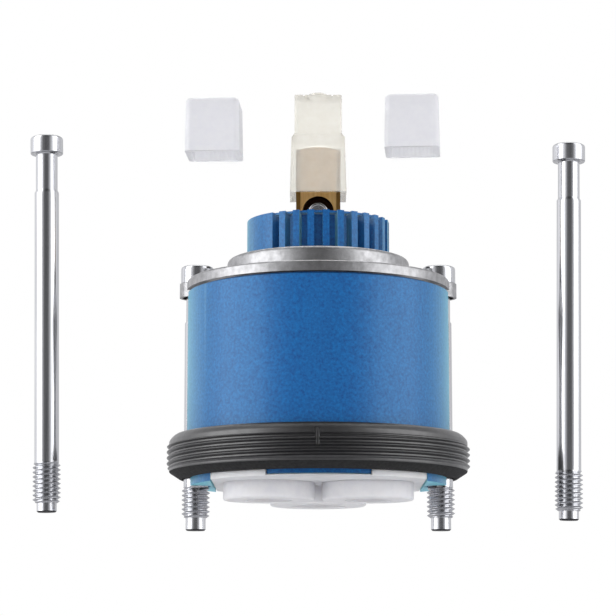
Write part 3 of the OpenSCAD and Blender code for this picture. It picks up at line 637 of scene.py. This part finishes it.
# %% Screw
def make_screw(name, under_head, thread_len, tip_len):
    """A cap screw with its head's seat at height 0 and its tip at -under_head."""
    low = tip_len - under_head
    high = low + thread_len
    blank = turn(name, [
        (0, -under_head), (TIP_R - 0.22, -under_head), (TIP_R, 0.22 - under_head), (TIP_R, low + 0.1),
        (ROOT_R - 0.05, low + 0.35), (ROOT_R - 0.05, high), (SHANK_R, high + 0.5),
        (SHANK_R, high + 0.8), (SHANK_R, -WAIST_LEN - 0.5), (SHANK_R, -WAIST_LEN - 0.25),
        (WAIST_R, -WAIST_LEN + 0.1), (WAIST_R, -WAIST_LEN + 0.3), (WAIST_R, -0.4), (WAIST_R, -0.2),
        (WAIST_R + 0.2, 0), (HEAD_R - 0.12, 0), (HEAD_R, 0.12), (HEAD_R, 0.3), (HEAD_R, HEAD_H - 0.6),
        (HEAD_R, HEAD_H - 0.42), (HEAD_R - 0.1, HEAD_H - 0.17), (HEAD_R - 0.36, HEAD_H), (0, HEAD_H)],
        STEPS_SMALL)
    start = low - 2 * PITCH
    turns = math.ceil((thread_len + RUN_OUT) / PITCH) + 4
    thread = wind(name + "_thread", [(r, z + start) for r, z in TOOTH], PITCH, turns,
                  low + 0.12, high + RUN_OUT, 48)
    envelope = turn(name + "_envelope", [
        (0, low), (TIP_R, low), (CREST_R, low + 0.55), (CREST_R + 0.02, low + 0.7),
        (CREST_R + 0.02, high - 0.1), (SHANK_R - 0.15, high + RUN_OUT + 0.1),
        (0, high + RUN_OUT + 0.1)], 48)
    combine(thread, envelope, "INTERSECT")
    combine(blank, thread, "UNION")
    combine(blank, hexagon(SOCKET_AF, 4, (0, 0, HEAD_H - SOCKET_DEPTH + 2)), "DIFFERENCE")
    bpy.ops.object.mode_set(mode="EDIT")
    return clean(blank)


def shade_tip_end(screw):
    """Paint the downward end face of a screw's tip a dark steel, as painted shade."""
    screw.data.materials.append(tip_shaded_steel)
    # The end face that points down gets the dark steel: painted shade.
    tip = min(vert.co.z for vert in screw.data.vertices)
    for face in screw.data.polygons:
        face.material_index = int(face.center.z < tip + 0.0003 and face.normal.z < -0.5)


print("screw functions ready")

# %% [markdown]
# The two fixing screws stand in the ears of the flange, one on each side. They are the same screw,
# modelled once, and the right copy is spun so that the two sockets don't line up.

# %% Fixing screws
SCREW_X, HEAD_SEAT_Z = 21.4, 38.6
fixing = make_screw("fixing_screw", under_head=43.5, thread_len=4.9, tip_len=2.1)
for side, x, spin in (("left", -SCREW_X, 0), ("right", SCREW_X, 140)):
    screw = place_copy(fixing, "fixing_screw_" + side + "_rolled", spin, 0, (x, 0, HEAD_SEAT_Z))
    deliver(screw, side + "_screw", "screw_steel", plated_steel, "fixing_screw_" + side)
    shade_tip_end(screw)
bpy.data.objects.remove(fixing, do_unlink=True)

# %% [markdown]
# The two spare screws are longer, perhaps for a deeper tap, and stand beside the cartridge. They lean
# apart at their heads by one degree each, as they do in the photo. They come from the same function
# with another length, as a maker can cut both from the same wire.

# %% Spare screws
SPARE_REACH = 63.9
spare = make_screw("spare_screw", under_head=SPARE_REACH, thread_len=6.6, tip_len=1.5)
for side, x, z, lean, spin in (("left", -47.4, -1.7, -1, 60), ("right", 43.7, -3.1, 1, 200)):
    tilt = math.radians(lean)
    seat = (x + SPARE_REACH * math.sin(tilt), 0, z + SPARE_REACH * math.cos(tilt))
    screw = place_copy(spare, "spare_screw_" + side + "_rolled", spin, lean, seat)
    deliver(screw, "cartridge", "screw_steel", plated_steel, "spare_screw_" + side)
    shade_tip_end(screw)
bpy.data.objects.remove(spare, do_unlink=True)

# %% [markdown]
# ## The threaded ring
#
# The black ring screws into the tap and holds the cartridge's foot. It is moulded with its thread cut
# short at both ends, so four fine ridges lie between a smooth wall above and a smooth band below. The
# thread is wound as for the screws, trimmed by a turned outline, joined to the ring's plain wall and
# bored out. A small slot in front shows where the ring lines up with the body.

# %% Ring wall and thread
ring_low, ring_high = [corner[2] * 1000 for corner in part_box("thread_ring")]
CREST, WALL, ROOT = 26.5, 26.1, 25.9
RING_PITCH, RING_TURNS, RING_START = 1.0, 13, 1.6
tooth = [(ROOT, 0), (ROOT, 0.14), (ROOT + 0.25, 0.26), (CREST - 0.1, 0.40), (CREST, 0.5), (CREST, 0.56),
         (CREST - 0.1, 0.66), (ROOT + 0.25, 0.80), (ROOT, 0.92), (ROOT, RING_PITCH)]
ring = wind("thread_ring_moulded", [(r, z + RING_START) for r, z in tooth], RING_PITCH, RING_TURNS,
            ring_low, ring_high, STEPS_LARGE)
thread_zone = turn("thread_zone", [
    (0, 5.3), (ROOT - 0.2, 5.3), (CREST + 0.1, 6.0), (CREST + 0.1, 9.5), (ROOT - 0.2, 10.1),
    (0, 10.1)], STEPS_LARGE)
combine(ring, thread_zone, "INTERSECT")
wall = turn("ring_wall", [
    (0, ring_low), (24.4, ring_low), (25.95, 5.1), (26.06, 5.22), (WALL, 5.38), (WALL, 5.8),
    (ROOT + 0.02, 5.95), (ROOT + 0.02, 9.4), (WALL, 9.55), (WALL, 10.35), (26.0, 10.6), (25.75, 10.95),
    (25.45, 11.25), (25.2, 11.45), (24.95, ring_high), (0, ring_high)], STEPS_LARGE)
combine(ring, wall, "UNION")
print("ring wall from", round(ring_low, 2), "to", round(ring_high, 2), "mm")

# %% Ring bore and slots
BORE_R, STEP_R, STEP_Z, GROOVE_R = 22.5, 23.1, 10.3, 2.7
bore = turn("ring_bore", [
    (0, ring_low - 1), (BORE_R, ring_low - 1), (BORE_R, STEP_Z), (STEP_R, STEP_Z),
    (STEP_R, ring_high + 1), (0, ring_high + 1)], STEPS_LARGE)
combine(ring, bore, "DIFFERENCE")
for x in (-SCREW_X, SCREW_X):
    combine(ring, bar(STEPS_SMALL, GROOVE_R, 20, (x, 0, 8)), "DIFFERENCE")
mark = block((0.8, 1.2, 3.1), (-0.2, -26.3, 9.15))
apply(mark, "BEVEL", width=0.3, segments=3)
combine(ring, mark, "DIFFERENCE")
deliver(ring, "cartridge", "black_ring", black_acetal, "thread_ring")

# %% Ring foot
FOOT_TOP = 0.0052
ring.data.materials.append(matt_shaded_acetal)
# Faces of the foot that point down get the darker, rougher black: painted shade, with a matt finish.
for face in ring.data.polygons:
    face.material_index = int(face.center.z < FOOT_TOP and face.normal.z < -0.3)
print(sum(face.material_index for face in ring.data.polygons), "matt faces at the ring's foot")

# %% [markdown]
# ## Soft edges on the moulded and cast pieces
#
# The CAD solids have knife-sharp edges, and no moulding or casting has them. A copy of the solid is
# merged, its flat facets are dissolved, and a small bevel runs along every sharp edge. The eye reads
# the bevel as a fine bright line, which shows the ribs of the neck and the soft rim of the flange.

# %% Copies and soft edges
FLAT_ANGLE, SHARP_ANGLE = math.radians(0.4), math.radians(32)


def copy_solid(node, name):
    """A copy of a CAD solid in millimetres, merged, with its flat facets joined."""
    piece = nodes[node].copy()
    piece.data = nodes[node].data.copy()
    for key in list(piece.keys()):
        del piece[key]
    piece.name = name
    piece.parent = None
    bpy.context.collection.objects.link(piece)
    only(piece)
    if piece.data.has_custom_normals:
        bpy.ops.mesh.customdata_custom_splitnormals_clear()
    bpy.ops.object.mode_set(mode="EDIT")
    bpy.ops.mesh.select_all(action="SELECT")
    bpy.ops.transform.resize(value=(1000, 1000, 1000), center_override=(0, 0, 0))
    bpy.ops.mesh.remove_doubles(threshold=0.001)
    bpy.ops.mesh.dissolve_limited(angle_limit=FLAT_ANGLE)
    return clean(piece)


def soften(piece, width, segments):
    """Round every edge that turns by more than the sharp angle."""
    apply(piece, "BEVEL", width=width, segments=segments, limit_method="ANGLE",
          angle_limit=SHARP_ANGLE, miter_outer="MITER_ARC", use_clamp_overlap=True)
    return piece


print("functions for softened copies ready")

# %% [markdown]
# The body keeps the CAD's shape with three changes. The gaps between the neck's splines run deeper, as
# the cores of the mould reach in, so they look almost black, and a thin rim closes them at the top.
# And a narrow groove under the flange keeps the two pieces apart: the photo shows it as a thin dark
# line all round.


# %% Body
def tube(name, inner, outer, low, high):
    """A plain ring to join or to cut with."""
    return turn(name, [(inner, low), (outer, low), (outer, high), (inner, high), (inner, low)],
                STEPS_LARGE)


SPLINES, SMOOTH = 30, range(21, 27)
GAP_SIZE, GAP_PLACE = (1.45, 3, 6.5), (0, -11.9, 46.0)
housing = copy_solid("housing", "housing_moulded")
for step in range(SPLINES):
    if step in SMOOTH:
        continue  # the neck has no splines in this sector
    gap = block(GAP_SIZE, GAP_PLACE)
    gap.rotation_euler.z = math.radians(360 / SPLINES * step)
    combine(housing, gap, "DIFFERENCE")
combine(housing, tube("neck_rim", 10.8, 11.95, 49.3, 49.66), "UNION")
combine(housing, tube("flange_groove", 21.8, 24, 36.75, 37.3), "DIFFERENCE")
deliver(soften(housing, 0.14, 2), "cartridge", "blue_body", blue_nylon, "housing")
housing.visible_glossy = False  # the spare screws show no blue in the photo, which has them shot apart

# %% [markdown]
# The seals, the flange, the plate and the carrier only need their soft edges. Silicone has the
# roundest ones, a die casting has clear ones, and a hard moulding has fine ones.

# %% Seals, flange, plate and carrier
for node, made, width, segments, body, slot, material in (
        ("inlet_seal_left", "_moulded", 0.4, 4, "cartridge", "seal_rubber", silicone),
        ("inlet_seal_right", "_moulded", 0.4, 4, "cartridge", "seal_rubber", silicone),
        ("outlet_seal", "_moulded", 0.4, 4, "cartridge", "seal_rubber", silicone),
        ("clamp_flange", "_cast", 0.3, 3, "cartridge", "die_cast", die_cast),
        ("base_plate", "_moulded", 0.15, 2, "cartridge", "milky_plate", plate_plastic),
        ("lever_carrier", "_moulded", 0.15, 2, "carrier", "acetal", grey_acetal)):
    deliver(soften(copy_solid(node, node + made), width, segments), body, slot, material, node)

# %% [markdown]
# ## The adaptor
#
# A milky plastic adaptor is pressed on the lever, so that handles with another square fit. Its top has
# a low dome between two narrow slots, and its socket fits the domed end of the lever, which shows
# through the plastic. The top is filled and slotted anew, because the slots show in the photo as fine
# lines.

# %% Adaptor
LEVER_END = [(6, 61.6), (5, 62.1), (3.9, 62.55), (2.6, 63.05), (1.3, 63.32), (0, 63.4)]
PRESS_GAP, SOCKET_SQUARE, SLOT_X = 0.05, 7.9, 2.5
adaptor = copy_solid("lever_adaptor", "lever_adaptor_moulded")
core_fill = turn("core_fill", [(0, 70), (3, 70), (3, 72.05), (0, 72.05)], STEPS_SMALL)
combine(adaptor, core_fill, "UNION")
combine(adaptor, block((8.2, 8.2, 2.2), (0, 0, 62.6)), "UNION")
socket = turn("domed_socket", [(0, 60), (6, 60)] + [(r, z + PRESS_GAP) for r, z in LEVER_END], 128)
combine(socket, block((SOCKET_SQUARE, SOCKET_SQUARE, 8), (0, 0, 61)), "INTERSECT")
combine(adaptor, socket, "DIFFERENCE")
soften(adaptor, 0.2, 3)
dome = turn("adaptor_dome", [
    (0, 71), (2.2, 71), (2.2, 72.3), (2.1, 72.7), (1.7, 73.08), (1.1, 73.32), (0.5, 73.43),
    (0, 73.45)], 48)
combine(adaptor, dome, "UNION")
for x in (-SLOT_X, SLOT_X):
    combine(adaptor, block((0.12, 6.4, 1.4), (x, 0, 71.5)), "DIFFERENCE")
    combine(adaptor, block((0.26, 12, 0.4), (x, 0, 72.1)), "DIFFERENCE")
deliver(adaptor, "lever", "milky_adaptor", adaptor_plastic, "lever_adaptor")

# %% [markdown]
# ## The lever and its limiter screw
#
# The lever is cut from square brass bar. Its end is turned to a low dome, its front and back are
# milled so that the adaptor slides on, and a hole for the limiter screw is drilled in front. A band of
# the unmilled bar is left along each edge, and it is painted darker than the milled face between, as
# painted shade.

# %% Lever
MILLED_HALF, MILLED_Y, LIMITER_Z, HOLE_R = 3.2, 3.76, 51.05, 2.75
lever = copy_solid("lever", "lever_milled")
combine(lever, turn("turned_end", [(0, 20), (6, 20)] + LEVER_END, 128), "INTERSECT")
for y in (-1, 1):
    combine(lever, block((2 * MILLED_HALF, 1, 24), (0, y * (MILLED_Y + 0.5), 56)), "DIFFERENCE")
deliver(soften(lever, 0.1, 2), "lever", "lever_brass", milled_brass, "lever")

# %% Lever faces
# The unmilled faces get the darker brass and the hole's faces the dark brown: both are painted shade.
lever.data.materials.append(edge_shaded_brass)
lever.data.materials.append(hole_shaded_brass)
for face in lever.data.polygons:
    x, y, z = face.center * 1000
    drilled = math.hypot(x, z - LIMITER_Z) < HOLE_R + 0.02 and -3.7 < y < -0.5
    milled = abs(x) < MILLED_HALF and abs(abs(y) - MILLED_Y) < 0.02
    face.material_index = 2 if drilled else 0 if milled else 1
print("lever faces: milled, drawn, drilled")

# %% [markdown]
# The limiter is a small set screw that stops the lever's travel. It is turned with a rounded rim, gets
# a hexagon socket, and stands in its hole, where its bright round rim catches the light.

# %% Limiter screw
LIMITER_AF = 2
(_, limiter_face, limiter_low), (_, _, limiter_high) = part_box("limiter_screw")
limiter = turn("limiter_screw_turned", [
    (0, -4), (1.8, -4), (2, -3.8), (2, 1.35), (1.95, 1.62), (1.8, 1.85), (1.6, 1.96), (1.35, 2),
    (1.25, 1.95), (0, 1.95)], STEPS_SMALL)
combine(limiter, hexagon(LIMITER_AF, 4, (0, 0, 2.2)), "DIFFERENCE")
limiter.rotation_euler = (math.pi / 2, 0, 0)
limiter.location = (0, limiter_face * 1000, (limiter_low + limiter_high) / 2 * 1000)
deliver(limiter, "lever", "screw_steel", plated_steel, "limiter_screw")

# %% [markdown]
# ## The lever caps
#
# Two square caps stand loose beside the lever, to fit handles of other sizes. Each is a thin moulded
# cup with round corners, a little narrower at its closed end so that it leaves the mould, and with fine
# ribs inside that grip the lever. The outside is a cube that is tapered and bevelled. The inside is cut
# by a core with the ribs' grooves, as the core of the mould makes them.

# %% Cap outside
CAP_WIDE, CAP_NARROW, CAP_TALL, CAP_WALL = 9.7, 9.4, 9.6, 1.0
CORNER_R, TOP_R = 1.0, 0.75


def pick(piece, kind, test):
    """In edit mode, select the EDGEs or FACEs that pass a test."""
    bpy.ops.mesh.select_mode(type=kind)
    bpy.ops.mesh.select_all(action="DESELECT")
    mesh = bmesh.from_edit_mesh(piece.data)
    for part in {"EDGE": mesh.edges, "FACE": mesh.faces}[kind]:
        if test(part):
            part.select_set(True)
    bmesh.update_edit_mesh(piece.data)


cap = block((CAP_WIDE, CAP_WIDE, CAP_TALL), (0, 0, CAP_TALL / 2))
cap.name = "lever_cap"
bpy.ops.object.mode_set(mode="EDIT")
pick(cap, "FACE", lambda face: face.normal.z > 0.9)
taper = CAP_NARROW / CAP_WIDE
bpy.ops.transform.resize(value=(taper, taper, 1), center_override=(0, 0, CAP_TALL))
pick(cap, "EDGE", lambda edge: abs(edge.verts[0].co.z - edge.verts[1].co.z) > 1)
bpy.ops.mesh.bevel(offset=CORNER_R, segments=6, affect="EDGES")
pick(cap, "EDGE", lambda edge: min(v.co.z for v in edge.verts) > CAP_TALL - 0.001)
bpy.ops.mesh.bevel(offset=TOP_R, segments=5, affect="EDGES")
clean(cap)
print("cap", CAP_WIDE, "mm wide and", CAP_TALL, "mm tall")

# %% Cap inside
RIB, RIB_PITCH, RIB_FOOT, RIB_TOP = 0.1, 0.72, 0.22, 0.1
CORE_START = -0.5
half = CAP_WIDE / 2 - CAP_WALL
flank = [(-half, -half)]
for i in range(-4, 5):
    middle = i * RIB_PITCH
    flank += [(middle - RIB_FOOT, -half), (middle - RIB_TOP, RIB - half),
              (middle + RIB_TOP, RIB - half), (middle + RIB_FOOT, -half)]
corners = flank + [(-y, x) for x, y in flank]
corners += [(-x, -y) for x, y in corners]
core = draw("cap_core", corners)
mesh = bmesh.from_edit_mesh(core.data)
for vert, (x, y) in zip(mesh.verts, corners):
    vert.co = (x, y, CORE_START)  # lay the outline flat, just below the open edge
bpy.ops.mesh.select_all(action="SELECT")
bpy.ops.mesh.edge_face_add()
ceiling = CAP_TALL - CAP_WALL
bpy.ops.mesh.extrude_region_move(TRANSFORM_OT_translate={"value": (0, 0, ceiling - CORE_START)})
shrink = (CAP_NARROW / 2 - CAP_WALL) / half
bpy.ops.transform.resize(value=(shrink, shrink, 1), center_override=(0, 0, ceiling))
combine(cap, clean(core), "DIFFERENCE")
print("cap hollowed by a core with", len(corners), "corners")

# %% Two caps
for side, place, spin in (("left", (-18.5, -2, 61.5), -3), ("right", (16.8, -2, 62.2), -4)):
    copy = place_copy(cap, "lever_cap_" + side + "_moulded", spin, 0, place)
    deliver(copy, "cartridge", "cap_plastic", cap_plastic, "lever_cap_" + side)
bpy.data.objects.remove(cap, do_unlink=True)

# %% [markdown]
# ## The nodes that keep their shape
#
# The discs and small inner pieces are right as they come from the CAD, so each only gets its material.
# They are seen from above through the neck, or when the lever moves.

# %% Materials on the CAD nodes
for name, material in (
        ("disc_seals", black_rubber), ("driver_seal", black_rubber), ("fixed_disc", ceramic),
        ("moving_disc", ceramic), ("disc_driver", grey_acetal), ("thrust_washer", grey_acetal),
        ("pivot_pin", plated_steel)):
    nodes[name].data.materials.clear()
    nodes[name].data.materials.append(material)
print("inner nodes have their materials")
